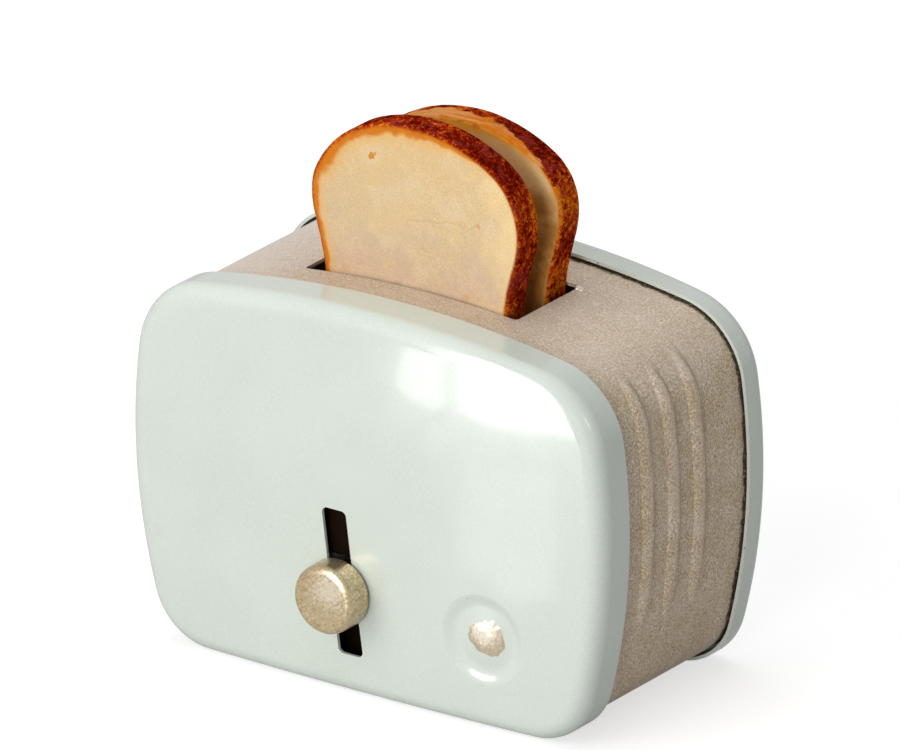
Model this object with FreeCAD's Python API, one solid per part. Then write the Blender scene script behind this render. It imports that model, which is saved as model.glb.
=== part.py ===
import FreeCAD, Part
import math
import os

# Toy toaster for a doll's house, pressed from thin tin sheet, with two painted
# wooden slices of bread. Millimetres. X runs across the front from left to right,
# Y runs from the front cover to the rear cover, Z is up. The origin is on the
# surface that the toaster stands on, below the middle of its box, knob included.

# Housing
width = 66.0
height = 47.0
depth = 35.6
sheet = 0.4
top_arc_radius = 140.2
side_arc_radius = 78.5
widest_height = 25.9
top_corner_radius = 10.0
bottom_corner_radius = 8.0
face_dome_radius = 500.0
edge_round = 2.2
front_flange = 6.6
rear_flange = 5.2

# Band between the covers
band_gap = 0.4
band_lip = 3.0
seam_slit = 0.2
strap_width = 8.0
tab_width = 8.0
tab_length = 4.0
tab_end_margin = 1.4
tab_spread = 17.0
tab_height = 25.0
bead_count = 3
bead_width = 2.6
bead_rise = 0.5
bead_first = 4.9
bead_pitch = 5.1
bead_foot_height = 17.0
bead_foot_radius = 18.0
bead_foot_turn = 24.0
bead_top_tuck = 1.6
bead_top_turn = 65.0

# Bread opening and slices
opening_length = 29.5
opening_x = -1.3
opening_corner = 0.5
bread_y = 0.8
slice_side_gap = 0.2
slice_x = -0.8
slice_thickness = 4.0
slice_gap = 4.2
front_slice_height = 31.8
front_slice_half_width = 14.65
rear_slice_height = 30.5
rear_slice_half_width = 13.9
rear_slice_shift = 0.7
slice_show = 18.8
slice_foot_half_width = 12.4
slice_foot_round = 2.0
slice_dome_half = 10.5
slice_dome_radius = 19.9
slice_edge_round = 0.5
# Side of a slice above its rounded foot: share of the swell, share of the side's length
slice_side_profile = [(0.0, 0.0), (0.04, 0.35), (0.36, 0.64), (0.8, 0.83), (1.0, 1.0)]

# Lever slot, knob and stem
slot_x = -2.4
slot_width = 3.4
slot_bottom = 5.1
slot_top = 22.7
slot_corner = 0.7
slot_lean = 6.8
lever_z = 12.9
stem_height = 3.2
stem_side_clearance = 0.05
stem_end_clearance = 0.1
knob_diameter = 8.3
knob_length = 3.5
knob_edge_round = 0.9
knob_back_round = 0.25
knob_bore = 2.0
knob_bore_depth = 2.4
collar_diameter = 5.2
collar_thickness = 0.3
collar_clearance = 0.1
tenon_diameter = 2.2
stem_head_diameter = 3.8
stem_head_thickness = 0.7

# Pressed dial
dial_x = 17.0
dial_z = 11.3
dial_radius = 5.75
dial_depth = 0.55
# Dial surface from its rim to its middle: share of the radius, share of the depth
dial_profile = [(1.12, -0.07), (1.0, 0.0), (0.9, 0.22), (0.8, 0.7)]
dial_profile += [(0.68, 1.0), (0.52, 0.68), (0.3, 0.2), (0.0, 0.1)]

# Carriage inside
arm_set_back = 1.3
arm_width = 7.0
arm_thickness = 0.6
arm_bend = 0.6
arm_below_stem = 3.6
arm_leg_margin = 1.0
spring_width = 6.4
spring_height = 8.0
spring_thickness = 0.2
spring_bow = 0.5
spring_hole_clearance = 0.1
guide_clearance = 0.1
guide_back_gap = 0.3
guide_flange = 2.5
guide_leg_gap = 1.2
guide_under_slot = 2.0
cradle_side_gap = 0.15
cradle_wall = 2.2
rivet_diameter = 1.6
rivet_head_diameter = 2.8
rivet_head_height = 0.6
rivet_head_round = 0.5

# Places worked out from the sizes above
knob_reach = knob_length + collar_thickness + collar_clearance
front_y = -depth / 2 + knob_reach / 2
rear_y = front_y + depth
middle_y = (front_y + rear_y) / 2
band_inset = sheet + band_gap
foot_z = height + slice_show - front_slice_height
bread_front_y = middle_y + bread_y - slice_thickness - slice_gap / 2
bread_rear_y = bread_front_y + 2 * slice_thickness + slice_gap
rear_slice_y = bread_rear_y - slice_thickness
slice_ys = (bread_front_y, rear_slice_y)
arm_front_y = front_y + sheet + arm_set_back
arm_back_y = arm_front_y + arm_thickness
guide_web_y = arm_back_y + stem_head_thickness + guide_back_gap
slot_shift = math.tan(math.radians(slot_lean)) * (slot_top - slot_bottom) / 2
stem_width = slot_width - 2 * slot_shift - 2 * stem_side_clearance
leg_top_z = foot_z - sheet
leg_bottom_z = leg_top_z - arm_thickness
lever_down = lever_z - slot_bottom - stem_height / 2 - stem_end_clearance
guide_bottom_z = slot_bottom - guide_under_slot
guide_top_z = leg_bottom_z - lever_down - guide_leg_gap

# How far cutting shapes run past what they cut, and how close counts as the same place
OVER = 1.0
REACH = 200.0
TINY = 1e-6


def point(x, y, z):
    return FreeCAD.Vector(x, y, z)


def box(x0, x1, y0, y1, z0, z1):
    return Part.makeBox(x1 - x0, y1 - y0, z1 - z0, point(x0, y0, z0))


def rod(diameter, y0, y1, x, z):
    return Part.makeCylinder(diameter / 2, y1 - y0, point(x, y0, z), point(0, 1, 0))


def post(diameter, z0, z1, x, y):
    return Part.makeCylinder(diameter / 2, z1 - z0, point(x, y, z0), point(0, 0, 1))


def blade(wide, tall, y0, y1, x, z):
    """Flat bar along Y with rounded upper and lower edges."""
    reach = (tall - wide) / 2
    middle = box(x - wide / 2, x + wide / 2, y0, y1, z - reach, z + reach)
    ends = [rod(wide, y0, y1, x, z - reach), rod(wide, y0, y1, x, z + reach)]
    return middle.fuse(ends).removeSplitter()


def arc(centre, radius, start, end):
    """Arc in the XZ plane between two points, by the short way round."""
    middle = (start + end) * 0.5 - centre
    middle.normalize()
    return Part.Arc(start, centre + middle * radius, end).toShape()


def corner_between(first, first_radius, second, second_radius, corner_radius):
    """Centre of the upper right corner's arc, which touches two larger arcs from inside."""
    a = first_radius - corner_radius
    b = second_radius - corner_radius
    gap = second - first
    along = (gap.Length ** 2 + a ** 2 - b ** 2) / (2 * gap.Length)
    across = math.sqrt(a ** 2 - along ** 2)
    unit = gap * (1 / gap.Length)
    normal = point(-unit.z, 0, unit.x)
    foot = first + unit * along
    choices = [foot + normal * across, foot - normal * across]
    return max(choices, key=lambda c: c.x + c.z)


def touch(centre, corner, radius):
    """Where an arc of this centre and radius meets its corner arc."""
    way = corner - centre
    way.normalize()
    return centre + way * radius


def side_centre():
    return point(width / 2 - side_arc_radius, 0, widest_height)


def upper_corner(inset):
    """Centre of the upper corner's arc, a set distance inside the housing's outer skin."""
    top = point(0, 0, height - top_arc_radius)
    top_arc = top_arc_radius - inset
    side_arc = side_arc_radius - inset
    return corner_between(top, top_arc, side_centre(), side_arc, top_corner_radius - inset)


def outline_face(inset):
    """The housing's outline in the XZ plane, a set distance inside its outer skin."""
    top = point(0, 0, height - top_arc_radius)
    side = side_centre()
    side_arc = side_arc_radius - inset
    low_small = bottom_corner_radius - inset
    upper = upper_corner(inset)
    low_z = inset + low_small
    low_x = side.x + math.sqrt((side_arc - low_small) ** 2 - (low_z - side.z) ** 2)
    lower = point(low_x, 0, low_z)
    foot = point(low_x, 0, inset)
    side_low = touch(side, lower, side_arc)
    side_high = touch(side, upper, side_arc)
    top_end = touch(top, upper, top_arc_radius - inset)
    right = [
        arc(lower, low_small, foot, side_low),
        arc(side, side_arc, side_low, side_high),
        arc(upper, top_corner_radius - inset, side_high, top_end),
        arc(top, top_arc_radius - inset, top_end, point(0, 0, height - inset)),
    ]
    left = [edge.mirror(point(0, 0, 0), point(1, 0, 0)) for edge in right]
    base = Part.LineSegment(point(-low_x, 0, inset), foot).toShape()
    return Part.Face(Part.Wire(Part.__sortEdges__([base] + right + left)))


def outline_prism(inset, y0, y1):
    face = outline_face(inset)
    face.translate(point(0, y0, 0))
    return face.extrude(point(0, y1 - y0, 0))


def domed_block(inset, reach):
    """Solid inside the front cover's skin: domed face, rounded edge, straight sides."""
    prism = outline_prism(inset, front_y - OVER, front_y + reach)
    centre = point(0, front_y + face_dome_radius, height / 2)
    block = prism.common(Part.makeSphere(face_dome_radius - inset, centre))
    dome = min(block.Faces, key=lambda face: face.CenterOfMass.y)
    return block.makeFillet(edge_round - inset, dome.OuterWire.Edges)


def to_rear(shape):
    """The same shape at the other end of the housing."""
    return shape.mirror(point(0, middle_y, 0), point(0, 1, 0))


def dial_tool(shift):
    """Everything in front of the dial's pressed surface, moved inward by a distance."""
    stations = [point(r * dial_radius, d * dial_depth + shift, 0) for r, d in dial_profile]
    rim = stations[0]
    middle = stations[-1]
    ahead_rim = point(rim.x, -front_flange, 0)
    ahead_middle = point(0, -front_flange, 0)
    curve = Part.BSplineCurve()
    curve.interpolate(stations)
    edges = [
        curve.toShape(),
        Part.LineSegment(middle, ahead_middle).toShape(),
        Part.LineSegment(ahead_middle, ahead_rim).toShape(),
        Part.LineSegment(ahead_rim, rim).toShape(),
    ]
    face = Part.Face(Part.Wire(Part.__sortEdges__(edges)))
    tool = face.revolve(point(0, 0, 0), point(0, 1, 0), 360)
    centre = point(0, front_y + face_dome_radius, height / 2)
    flat = math.hypot(dial_x, dial_z - height / 2)
    drop = math.sqrt(face_dome_radius ** 2 - flat ** 2)
    place = point(dial_x, centre.y - drop, dial_z)
    turn = FreeCAD.Rotation(point(0, 1, 0), centre - place)
    tool.Placement = FreeCAD.Placement(place, turn)
    return tool


def edges_along(shape, axis):
    """Straight edges that run along an axis."""
    straight = [e for e in shape.Edges if isinstance(e.Curve, Part.Line)]
    return [e for e in straight if abs(e.tangentAt(e.FirstParameter).dot(axis)) > 1 - TINY]


def lever_slot():
    """Slot with level ends, whose sides lean to the left as they rise."""
    half = slot_width / 2
    y = front_y - OVER
    corners = [
        point(slot_x + slot_shift - half, y, slot_bottom),
        point(slot_x + slot_shift + half, y, slot_bottom),
        point(slot_x - slot_shift + half, y, slot_top),
        point(slot_x - slot_shift - half, y, slot_top),
    ]
    face = Part.Face(Part.makePolygon(corners + corners[:1]))
    block = face.extrude(point(0, OVER + front_flange, 0))
    return block.makeFillet(slot_corner, edges_along(block, point(0, 1, 0)))


def front_cavity():
    """Space inside the front cover, with the back of the dial standing into it."""
    return domed_block(sheet, REACH).cut(dial_tool(sheet))


def lining(flange):
    """A sheet that lies against the inside of a cover with this flange."""
    return domed_block(sheet, flange - tab_end_margin).cut(domed_block(2 * sheet, REACH))


def front_cover(cavity):
    shell = domed_block(0, front_flange).cut(dial_tool(0)).cut(cavity)
    return shell.cut(lever_slot())


def rear_cover():
    return to_rear(domed_block(0, rear_flange).cut(domed_block(sheet, REACH)))


def turned_arc(centre, start, degrees):
    """Arc in the XZ plane from a point, turning about a centre, anticlockwise if positive."""
    spoke = start - centre
    turn = FreeCAD.Rotation(point(0, -1, 0), degrees)
    half_turn = FreeCAD.Rotation(point(0, -1, 0), degrees / 2)
    middle = centre + half_turn.multVec(spoke)
    return Part.Arc(start, middle, centre + turn.multVec(spoke)).toShape()


def bead_path(y, tube):
    """Middle line of a bead: up the housing's side and round its upper corner.

    At both ends it bends more sharply than the housing does, so the bead sinks into the side.
    """
    inset = band_inset + tube - bead_rise
    side = side_centre()
    side_arc = side_arc_radius - inset
    high = touch(side, upper_corner(inset), side_arc)
    low_x = side.x + math.sqrt(side_arc ** 2 - (bead_foot_height - side.z) ** 2)
    low = point(low_x, 0, bead_foot_height)
    top_radius = top_corner_radius - inset - bead_top_tuck
    top_centre = touch(side, high, side_arc - top_radius)
    foot_centre = touch(side, low, side_arc - bead_foot_radius)
    edges = [
        turned_arc(foot_centre, low, -bead_foot_turn),
        arc(side, side_arc, low, high),
        turned_arc(top_centre, high, bead_top_turn),
    ]
    path = Part.Wire(Part.__sortEdges__(edges))
    path.translate(point(0, y, 0))
    return path


def bead_solid(y, inside):
    """A pressed bead as a curved rod: its outer skin, or its hollow back a sheet further in."""
    tube = (bead_width ** 2 / 4 + bead_rise ** 2) / (2 * bead_rise)
    path = bead_path(y, tube)
    first = path.OrderedEdges[0]
    start = first.firstVertex(True).Point
    end_value = first.getParameterByLength(0) if first.Orientation == "Forward" else first.LastParameter
    ring = Part.Wire(Part.makeCircle(tube - inside, start, first.tangentAt(end_value)))
    return path.makePipeShell([ring], True, False)


def bead_ys():
    return [front_y + front_flange + bead_first + bead_pitch * i for i in range(bead_count)]


def with_beads(block, inside):
    """Adds the beads on both sides to a block that fills the band."""
    for y in bead_ys():
        right = bead_solid(y, inside)
        left = right.mirror(point(0, 0, 0), point(1, 0, 0))
        block = block.fuse([right, left])
    return block


def tab_regions():
    """Where the band's ends have tabs, as boxes against the cover's skin."""
    near = band_inset + tab_length
    regions = []
    for x in (-tab_spread, tab_spread):
        x0 = x - tab_width / 2
        x1 = x + tab_width / 2
        top = height - near
        regions.append(box(x0, x1, front_y, middle_y, top, height))
        regions.append(box(x0, x1, front_y, middle_y, 0, near))
    z0 = tab_height - tab_width / 2
    z1 = tab_height + tab_width / 2
    regions.append(box(width / 2 - near, width / 2, front_y, middle_y, z0, z1))
    regions.append(box(-width / 2, -width / 2 + near, front_y, middle_y, z0, z1))
    return regions


def body_band(front_lining, rear_lining):
    """Rolled strip with side beads, the bread opening, and end tabs soldered to the covers."""
    outer = outline_prism(band_inset, front_y + band_lip, rear_y - band_lip)
    inner = outline_prism(band_inset + sheet, front_y, rear_y)
    band = with_beads(outer, 0).cut(with_beads(inner, sheet)).cut(bread_opening())
    band = band.cut(box(-seam_slit / 2, seam_slit / 2, front_y, rear_y, 0, 2 * band_inset))
    regions = tab_regions()
    tabs = [front_lining.common(region) for region in regions]
    tabs += [to_rear(rear_lining.common(region)) for region in regions]
    return band.fuse(tabs).removeSplitter()


def bread_opening():
    y0 = bread_front_y - slice_side_gap
    y1 = bread_rear_y + slice_side_gap
    half = opening_length / 2
    block = box(opening_x - half, opening_x + half, y0, y1, height / 2, 2 * height)
    return block.makeFillet(opening_corner, edges_along(block, point(0, 0, 1)))


def seam_strap():
    """Strip inside the base that joins the two ends of the rolled band."""
    z = band_inset + sheet
    return box(-strap_width / 2, strap_width / 2, front_y + band_lip, rear_y - band_lip, z, z + sheet)


def slot_guide(cavity, front_lining):
    """Channel behind the slot that keeps the carriage upright."""
    inner = arm_width / 2 + guide_clearance
    outer = inner + sheet
    flange = outer + guide_flange
    z0 = guide_bottom_z
    z1 = guide_top_z
    channel = box(slot_x - outer, slot_x + outer, front_y, guide_web_y + sheet, z0, z1)
    groove = box(slot_x - inner, slot_x + inner, front_y - OVER, guide_web_y, z0 - OVER, z1 + OVER)
    walls = channel.cut(groove).common(cavity)
    left = front_lining.common(box(slot_x - flange, slot_x - inner, front_y, middle_y, z0, z1))
    right = front_lining.common(box(slot_x + inner, slot_x + flange, front_y, middle_y, z0, z1))
    return walls.fuse([left, right]).removeSplitter()


def lever_knob():
    y1 = front_y - collar_clearance - collar_thickness
    y0 = y1 - knob_length
    cap = rod(knob_diameter, y0, y1, slot_x, lever_z)
    front_edge = [e for e in cap.Edges if e.Closed and abs(e.CenterOfMass.y - y0) < TINY]
    cap = cap.makeFillet(knob_edge_round, front_edge)
    back_edge = [e for e in cap.Edges if e.Closed and abs(e.CenterOfMass.y - y1) < TINY]
    cap = cap.makeFillet(knob_back_round, back_edge)
    return cap.cut(rod(knob_bore, y1 - knob_bore_depth, y1, slot_x, lever_z))


def lever_stem():
    """Pin: tenon in the knob, collar outside the slot, flat shank, and a peened head."""
    back = front_y - collar_clearance - collar_thickness
    pieces = [
        rod(knob_bore, back - knob_bore_depth, back, slot_x, lever_z),
        rod(collar_diameter, back, back + collar_thickness, slot_x, lever_z),
        blade(stem_width, stem_height, back + collar_thickness, arm_front_y, slot_x, lever_z),
        rod(tenon_diameter, arm_front_y, arm_back_y, slot_x, lever_z),
        rod(stem_head_diameter, arm_back_y, arm_back_y + stem_head_thickness, slot_x, lever_z),
    ]
    return pieces[0].fuse(pieces[1:]).removeSplitter()


def friction_spring():
    """Bowed leaf on the stem, between the cover and the carriage arm."""
    half = spring_height / 2
    bow_radius = (half ** 2 + spring_bow ** 2) / (2 * spring_bow)
    back_y = arm_front_y
    centre = point(slot_x - spring_width / 2, back_y - bow_radius, lever_z)
    outer = Part.makeCylinder(bow_radius, spring_width, centre, point(1, 0, 0))
    inner = Part.makeCylinder(bow_radius - spring_thickness, spring_width, centre, point(1, 0, 0))
    x0 = slot_x - spring_width / 2
    window = box(x0, x0 + spring_width, front_y, back_y, lever_z - half, lever_z + half)
    wide = stem_width + 2 * spring_hole_clearance
    tall = stem_height + 2 * spring_hole_clearance
    hole = blade(wide, tall, front_y, back_y + OVER, slot_x, lever_z)
    return outer.cut(inner).common(window).cut(hole)


def rivet_places():
    return [(slot_x, y + slice_thickness / 2) for y in slice_ys]


def carriage_arm():
    """Bent strip: upright plate behind the slot, and a leg under the bread cradle."""
    x0 = slot_x - arm_width / 2
    x1 = slot_x + arm_width / 2
    leg_end = bread_rear_y - arm_leg_margin
    plate = box(x0, x1, arm_front_y, arm_back_y, lever_z - arm_below_stem, leg_top_z)
    leg = box(x0, x1, arm_front_y, leg_end, leg_bottom_z, leg_top_z)
    strip = plate.fuse(leg).removeSplitter()
    strip = round_bend(strip, arm_front_y, leg_top_z, arm_bend + arm_thickness)
    strip = round_bend(strip, arm_back_y, leg_bottom_z, arm_bend)
    strip = strip.cut(rod(tenon_diameter, front_y, middle_y, slot_x, lever_z))
    return strip.cut(rivet_holes())


def round_bend(strip, y, z, radius):
    """Rounds the edge that runs along X through a point of the bent strip."""
    across = edges_along(strip, point(1, 0, 0))
    near = [e for e in across if math.hypot(e.CenterOfMass.y - y, e.CenterOfMass.z - z) < TINY]
    return strip.makeFillet(radius, near)


def rivet_holes():
    holes = [post(rivet_diameter, leg_bottom_z - OVER, foot_z + OVER, x, y) for x, y in rivet_places()]
    return Part.makeCompound(holes)


def bread_cradle():
    """Folded tray with one channel for each slice."""
    half = slice_foot_half_width + cradle_side_gap
    x0 = slice_x - half - sheet
    x1 = slice_x + half + sheet
    y0 = bread_front_y - cradle_side_gap - sheet
    y1 = bread_rear_y + cradle_side_gap + sheet
    top = foot_z + cradle_wall
    tray = box(x0, x1, y0, y1, foot_z - sheet, top)
    for y in slice_ys:
        c0 = y - cradle_side_gap
        c1 = y + slice_thickness + cradle_side_gap
        tray = tray.cut(box(x0 + sheet, x1 - sheet, c0, c1, foot_z, top + OVER))
    d0 = bread_front_y + slice_thickness + cradle_side_gap + sheet
    d1 = rear_slice_y - cradle_side_gap - sheet
    tray = tray.cut(box(x0 - OVER, x1 + OVER, d0, d1, foot_z - sheet - OVER, top - sheet))
    return tray.cut(rivet_holes())


def cradle_rivets():
    """Two rivets, flush in the cradle's floor, with round heads under the arm's leg."""
    low = leg_bottom_z - rivet_head_height
    rivets = []
    for x, y in rivet_places():
        shank = post(rivet_diameter, leg_bottom_z, foot_z, x, y)
        head = post(rivet_head_diameter, low, leg_bottom_z, x, y)
        rim = [e for e in head.Edges if e.Closed and abs(e.CenterOfMass.z - low) < TINY]
        head = head.makeFillet(rivet_head_round, rim)
        rivets.append(shank.fuse(head).removeSplitter())
    return Part.makeCompound(rivets)


def slice_outline(tall, half_width, foot_half_width):
    """A bread slice from the front: flat foot, straight sides, wide shoulders, domed top."""
    top = foot_z + tall
    dome_centre = point(0, 0, top - slice_dome_radius)
    lean = math.asin(slice_dome_half / slice_dome_radius)
    dome_z = dome_centre.z + slice_dome_radius * math.cos(lean)
    shoulder_radius = (half_width - slice_dome_half) / (1 - math.sin(lean))
    shoulder = point(half_width - shoulder_radius, 0, dome_z - shoulder_radius * math.cos(lean))
    join = point(slice_dome_half, 0, dome_z)
    foot_centre = point(foot_half_width - slice_foot_round, 0, foot_z + slice_foot_round)
    foot_start = point(foot_centre.x, 0, foot_z)
    swell = half_width - foot_half_width
    rise = shoulder.z - foot_centre.z
    side_points = [
        point(foot_half_width + out * swell, 0, foot_centre.z + up * rise)
        for out, up in slice_side_profile
    ]
    side = Part.BSplineCurve()
    side.interpolate(side_points, InitialTangent=point(0, 0, 1), FinalTangent=point(0, 0, 1))
    right = [
        arc(foot_centre, slice_foot_round, foot_start, side_points[0]),
        side.toShape(),
        arc(shoulder, shoulder_radius, side_points[-1], join),
        arc(dome_centre, slice_dome_radius, join, point(0, 0, top)),
    ]
    left = [edge.mirror(point(0, 0, 0), point(1, 0, 0)) for edge in right]
    base = Part.LineSegment(point(-foot_start.x, 0, foot_z), foot_start).toShape()
    return Part.Face(Part.Wire(Part.__sortEdges__([base] + right + left)))


def bread_slice(y, tall, half_width, shift):
    """A slice whose middle is shifted to the right, with its foot's right end as without the shift."""
    face = slice_outline(tall, half_width, slice_foot_half_width - shift)
    face.translate(point(slice_x + shift, y, 0))
    solid = face.extrude(point(0, slice_thickness, 0))
    rims = [e for e in solid.Edges if abs(e.BoundBox.YLength) < TINY]
    return solid.makeFillet(slice_edge_round, rims)


def main():
    cavity = front_cavity()
    front_lining = lining(front_flange)
    pieces = {
        "front_cover": front_cover(cavity),
        "rear_cover": rear_cover(),
        "body_band": body_band(front_lining, lining(rear_flange)),
        "seam_strap": seam_strap(),
        "slot_guide": slot_guide(cavity, front_lining),
        "lever_knob": lever_knob(),
        "lever_stem": lever_stem(),
        "friction_spring": friction_spring(),
        "carriage_arm": carriage_arm(),
        "bread_cradle": bread_cradle(),
        "cradle_rivets": cradle_rivets(),
        "front_slice": bread_slice(bread_front_y, front_slice_height, front_slice_half_width, 0),
        "rear_slice": bread_slice(rear_slice_y, rear_slice_height, rear_slice_half_width, rear_slice_shift),
    }
    os.makedirs("parts", exist_ok=True)
    for name, shape in pieces.items():
        solids = shape.Solids
        kept = solids[0] if len(solids) == 1 else Part.makeCompound(solids)
        kept.exportStep("parts/" + name + ".step")
        print(name, len(solids), kept.isValid(), round(kept.Volume, 3))


main()
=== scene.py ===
import math

import bpy
from mathutils import Matrix, Vector, noise
from mathutils.bvhtree import BVHTree


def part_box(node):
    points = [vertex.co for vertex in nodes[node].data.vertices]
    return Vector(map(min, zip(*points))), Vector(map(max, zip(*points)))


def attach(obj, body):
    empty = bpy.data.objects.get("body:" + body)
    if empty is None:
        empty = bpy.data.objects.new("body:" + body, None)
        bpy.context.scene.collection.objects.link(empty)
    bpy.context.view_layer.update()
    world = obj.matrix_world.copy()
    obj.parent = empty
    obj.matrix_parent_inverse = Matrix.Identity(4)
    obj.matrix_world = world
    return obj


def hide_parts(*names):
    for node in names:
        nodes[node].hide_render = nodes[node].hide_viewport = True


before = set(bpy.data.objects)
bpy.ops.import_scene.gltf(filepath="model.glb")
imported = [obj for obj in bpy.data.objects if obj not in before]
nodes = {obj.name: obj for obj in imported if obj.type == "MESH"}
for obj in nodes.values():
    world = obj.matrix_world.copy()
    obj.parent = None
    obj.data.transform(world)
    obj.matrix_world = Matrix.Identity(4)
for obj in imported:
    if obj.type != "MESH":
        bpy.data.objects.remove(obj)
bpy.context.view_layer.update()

# Looks of a doll's-house toaster: enamelled tin covers, a bronze-painted band, a brass knob and
# two painted wooden slices. Lengths are millimetres, and they are turned into metres where a mesh,
# lamp or camera is made.
MM = 0.001

# Places on the toaster, the same values as in the part's source
FRONT_Y = -15.85
REAR_Y = 19.75
FRONT_RIM_Y = FRONT_Y + 6.6
REAR_RIM_Y = REAR_Y - 5.2
SLOT_X = -2.4
KNOB_Z = 12.9
DIAL_X = 17.0
DIAL_Z = 11.3
BEAD_YS = (-4.35, 0.75, 5.85)
SLICE_ROUND = 0.5

# Camera, from a fit to the photograph's outlines; its scale is in pixels per millimetre
CAMERA_AZIMUTH = 35.556
CAMERA_ELEVATION = 22.026
CAMERA_ROLL = -0.392
CAMERA_TARGET = (1.635, 0.0, 35.006)
CAMERA_DISTANCE = 2400.0
CAMERA_SCALE = 8.796863
SENSOR = 36.0
PHOTO_WIDTH = 900


class Paint:
    """A material being made: adds shader nodes and links what is passed in as a socket."""

    def __init__(self, name):
        self.material = bpy.data.materials.new(name)
        self.material.use_nodes = True
        self.tree = self.material.node_tree
        self.shader = next(n for n in self.tree.nodes if n.type == "BSDF_PRINCIPLED")
        coords = self.tree.nodes.new("ShaderNodeTexCoord")
        self.place = self.add("ShaderNodeMapping", {"Vector": coords.outputs["Object"]}).outputs[0]
        self.place.node.inputs["Scale"].default_value = (1000, 1000, 1000)
        split = self.add("ShaderNodeSeparateXYZ", {"Vector": self.place})
        self.x, self.y, self.z = split.outputs

    def add(self, kind, inputs=None, **settings):
        node = self.tree.nodes.new(kind)
        for key, value in settings.items():
            setattr(node, key, value)
        for key, value in (inputs or {}).items():
            self.feed(node.inputs[key], value)
        return node

    def feed(self, socket, value):
        if isinstance(value, bpy.types.NodeSocket):
            self.tree.links.new(value, socket)
        else:
            socket.default_value = value

    def set(self, **values):
        """Values or sockets for the shader's own inputs, with _ for a space in a name."""
        for key, value in values.items():
            self.feed(self.shader.inputs[key.replace("_", " ")], value)
        return self

    def stretched(self, scale, turn=(0, 0, 0)):
        """Coordinates squeezed or stretched along the axes, after a turn in degrees."""
        turned = self.add("ShaderNodeMapping", {"Vector": self.place}, vector_type="POINT")
        turned.inputs["Rotation"].default_value = tuple(math.radians(a) for a in turn)
        out = self.add("ShaderNodeMapping", {"Vector": turned.outputs[0]})
        out.inputs["Scale"].default_value = scale
        return out.outputs[0]

    def noise(self, scale, detail=3.0, rough=0.5, warp=0.0, place=None):
        """Noise between 0 and 1, with scale in features per millimetre."""
        inputs = {"Vector": place or self.place, "Scale": scale, "Detail": detail}
        inputs["Roughness"] = rough
        inputs["Distortion"] = warp
        return self.add("ShaderNodeTexNoise", inputs).outputs["Fac"]

    def cells(self, scale):
        """Distance to the nearest of some scattered points."""
        inputs = {"Vector": self.place, "Scale": scale}
        return self.add("ShaderNodeTexVoronoi", inputs).outputs["Distance"]

    def math(self, operation, a, b=0.0, clamp=False):
        node = self.add("ShaderNodeMath", operation=operation, use_clamp=clamp)
        self.feed(node.inputs[0], a)
        self.feed(node.inputs[1], b)
        return node.outputs[0]

    def span(self, value, low, high, to_low=0.0, to_high=1.0, smooth=True):
        """Value taken from low..high to to_low..to_high, and held at the ends."""
        kind = "SMOOTHSTEP" if smooth else "LINEAR"
        node = self.add("ShaderNodeMapRange", interpolation_type=kind)
        for key, number in (("Value", value), ("From Min", low), ("From Max", high)):
            self.feed(node.inputs[key], number)
        self.feed(node.inputs["To Min"], to_low)
        self.feed(node.inputs["To Max"], to_high)
        return node.outputs["Result"]

    def ramp(self, value, stops):
        """Colour from stops, each a place from 0 to 1 and a colour."""
        node = self.add("ShaderNodeValToRGB", {"Fac": value})
        ramp = node.color_ramp
        while len(ramp.elements) < len(stops):
            ramp.elements.new(0.5)
        for element, (at, colour) in zip(ramp.elements, stops):
            element.position = at
            element.color = (*colour, 1.0)
        return node.outputs["Color"]

    def mix(self, share, first, second, blend="MIX"):
        """First colour at share 0, and second at share 1."""
        node = self.add("ShaderNodeMix", data_type="RGBA", blend_type=blend, clamp_factor=True)
        self.feed(node.inputs[0], share)
        for socket, value in ((node.inputs[6], first), (node.inputs[7], second)):
            is_colour = isinstance(value, tuple) and len(value) == 3
            self.feed(socket, (*value, 1.0) if is_colour else value)
        return node.outputs[2]

    def attribute(self, name):
        return self.add("ShaderNodeAttribute", attribute_name=name).outputs["Fac"]

    def near(self, x, y, z, spread):
        """Distance in millimetres from a point on the object, with a ragged edge."""
        gap = self.add("ShaderNodeVectorMath", operation="DISTANCE")
        self.feed(gap.inputs[0], self.place)
        gap.inputs[1].default_value = (x, y, z)
        ragged = self.span(self.noise(2.2, 2.0), 0.2, 0.8, -spread, spread)
        return self.math("ADD", gap.outputs["Value"], ragged)

    def bump(self, height, depth, strength=1.0, under=None):
        """Bump with its depth in millimetres."""
        node = self.add("ShaderNodeBump", {"Height": height, "Strength": strength})
        node.inputs["Distance"].default_value = depth * MM
        if under:
            self.feed(node.inputs["Normal"], under)
        return node.outputs["Normal"]


# Enamel: glossy, slightly wavy, with dust specks, and bare dark metal at the cut edge
ENAMEL = (0.655, 0.720, 0.655)
ENAMEL_PALE = (0.680, 0.740, 0.680)
ENAMEL_SPECK = (0.16, 0.14, 0.11)
CUT_EDGE = (0.055, 0.040, 0.028)
CHIP_METAL = (0.42, 0.34, 0.24)


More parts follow.
